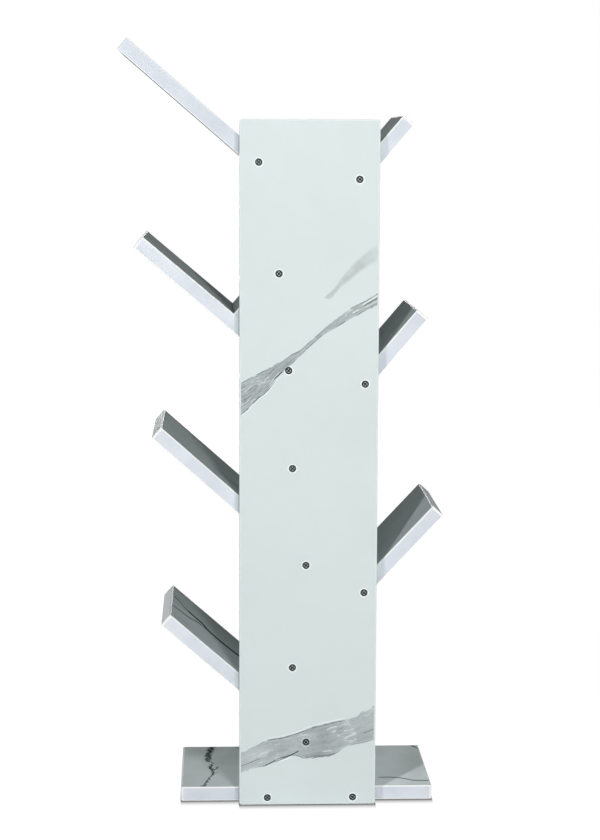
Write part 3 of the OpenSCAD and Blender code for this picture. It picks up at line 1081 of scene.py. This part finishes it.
# %% [markdown]
# The shelf stands in a white studio. To the camera, and in reflections, the floor and the
# world are plain white, so the picture's ground is white without any more light on the shelf.
# To all other rays the world is a weak soft light and the floor a pale card. The floor keeps
# a faint real shadow of the shelf, and a painted shadow is added to it. The painted shadow is
# darkest at the foot of a board and gone 30 mm away, and it hardly shows beside the ends of a
# board, so the distance counts more to the sides.

# %% Floor and world
FLOOR_HALF = 12.0
WORLD_LEVEL = 0.02
FLOOR_SHADE = 0.05
CARD_LEVEL = 0.8
CONTACT_REACH, END_RATE = 30 * MM, 12
CONTACT_SHADOW = [(0, 0.07), (0.1, 0.25), (0.17, 0.42), (0.24, 0.53), (0.38, 0.7), (0.52, 0.87),
           (0.67, 0.96), (1, 1)]


def grey(level):
    """A linear grey of this level, as a shader's colour."""
    return (level, level, level, 1)


def seen_or_mirrored(tree):
    """1 for rays from the camera, off a gloss or through glass, and 0 for soft light."""
    seen = Wire.node(tree, "ShaderNodeLightPath", output="Is Camera Ray")
    mirrored = Wire.node(tree, "ShaderNodeLightPath", output="Is Glossy Ray")
    through = Wire.node(tree, "ShaderNodeLightPath", output="Is Transmission Ray")
    return seen.at_least(mirrored).at_least(through)


def make_floor():
    mesh = bmesh.new()
    bmesh.ops.create_grid(mesh, x_segments=1, y_segments=1, size=FLOOR_HALF)
    floor = new_object("floor", finished(mesh, "floor"))
    return floor


def from_foot(place, node):
    """How far a place on the floor lies from the foot of a board that stands there."""
    low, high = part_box(node)
    across = abs(along(place, X_AXIS) - (low.x + high.x) / 2) - (high.x - low.x) / 2
    deep = abs(along(place, Y_AXIS) - (low.y + high.y) / 2) - (high.y - low.y) / 2
    return across.at_least(0) * END_RATE + deep.at_least(0)


def floor_finish():
    material = bpy.data.materials.new("studio_floor")
    material.use_nodes = True
    material.cycles.emission_sampling = "NONE"
    tree = material.node_tree
    tree.nodes.remove(tree.nodes["Principled BSDF"])
    place = Wire.node(tree, "ShaderNodeTexCoord", output="Object")
    # Painted shadow: the floor is darker near the foot of the trunk and of the base.
    nearest = from_foot(place, "trunk_edge_bands").at_most(from_foot(place, "base_edge_bands"))
    stops = [(at, grey(level)) for at, level in CONTACT_SHADOW]
    share = {"Fac": nearest / CONTACT_REACH}
    painted_shadow = Wire.node(tree, "ShaderNodeValToRGB", {"stops": stops}, share)
    glow = Wire.node(tree, "ShaderNodeEmission", None, {"Color": painted_shadow, "Strength": 1.0})
    shade = Wire.node(tree, "ShaderNodeBsdfDiffuse", None, {"Color": grey(FLOOR_SHADE)})
    seen = Wire.node(tree, "ShaderNodeAddShader", None, {0: glow, 1: shade})
    card = Wire.node(tree, "ShaderNodeBsdfDiffuse", None, {"Color": grey(CARD_LEVEL)})
    sockets = {0: seen_or_mirrored(tree), 1: card, 2: seen}
    both = Wire.node(tree, "ShaderNodeMixShader", None, sockets)
    tree.links.new(both.socket, tree.nodes["Material Output"].inputs["Surface"])
    return material


def light_world():
    world = bpy.data.worlds.new("studio")
    world.use_nodes = True
    bpy.context.scene.world = world
    tree = world.node_tree
    sockets = {"Color": grey(1), "Strength": 1.0}
    white = Wire.node(tree, "ShaderNodeBackground", None, sockets)
    sockets = {"Color": grey(1), "Strength": WORLD_LEVEL}
    soft = Wire.node(tree, "ShaderNodeBackground", None, sockets)
    sockets = {0: seen_or_mirrored(tree), 1: soft, 2: white}
    both = Wire.node(tree, "ShaderNodeMixShader", None, sockets)
    tree.links.new(both.socket, tree.nodes["World Output"].inputs["Surface"])


floor = make_floor()
floor.data.materials.append(floor_finish())
light_world()
print("white studio, soft light at", WORLD_LEVEL)

# %% [markdown]
# Two softboxes stand high on either side of the camera. The left one is small and far away, so
# the trunk throws a crisp shade onto the right arms, and the right one is large and near, so
# the shade on the left arms is soft. Large weak lamps beside the camera, to both sides of the
# shelf and in front of it fill the faces that look that way. A lamp's level is the share of a
# written colour at which it alone shows a face that is turned to it.

# %% Lamps
AIM = Vector((0, 0, 0.45))
# Name, azimuth and elevation in degrees, distance and size in metres, level
LAMPS = [
    ("left_key", -32, 45, 8.0, 0.44, 0.35),
    ("right_key", 15, 36, 4.0, 0.75, 0.33),
    ("camera_fill", -6, 8, 4.0, 1.6, 0.17),
    ("left_fill", -75, 10, 4.0, 1.6, 0.05),
    ("right_fill", 75, 10, 4.0, 1.6, 0.23),
    ("front_fill", 180, 3, 4.0, 1.6, 0.38),
]


def lamp(name, azimuth, elevation, distance, size, level):
    """A round softbox. Azimuth 0 is behind the shelf, on the camera's side, and 90 is at +X."""
    data = bpy.data.lights.new(name, "AREA")
    data.shape = "DISK"
    data.size = size
    data.energy = level * (math.pi * distance) ** 2
    turn, tilt = math.radians(azimuth), math.radians(elevation)
    flat_way = Vector((math.sin(turn), -math.cos(turn), 0))
    way = flat_way * math.cos(tilt) + UP * math.sin(tilt)
    aimed = way.to_track_quat("Z", "Y").to_matrix().to_4x4()
    made = new_object(name, data)
    made.matrix_world = Matrix.Translation(AIM + way * distance) @ aimed
    made.visible_camera = False
    print(name, "gives", round(data.energy), "watts from", [round(part, 2) for part in way])


for values in LAMPS:
    lamp(*values)

# %% [markdown]
# The view transform is Standard, so a written colour shows as written under plain light.

# %% The end
bpy.context.scene.view_settings.view_transform = "Standard"
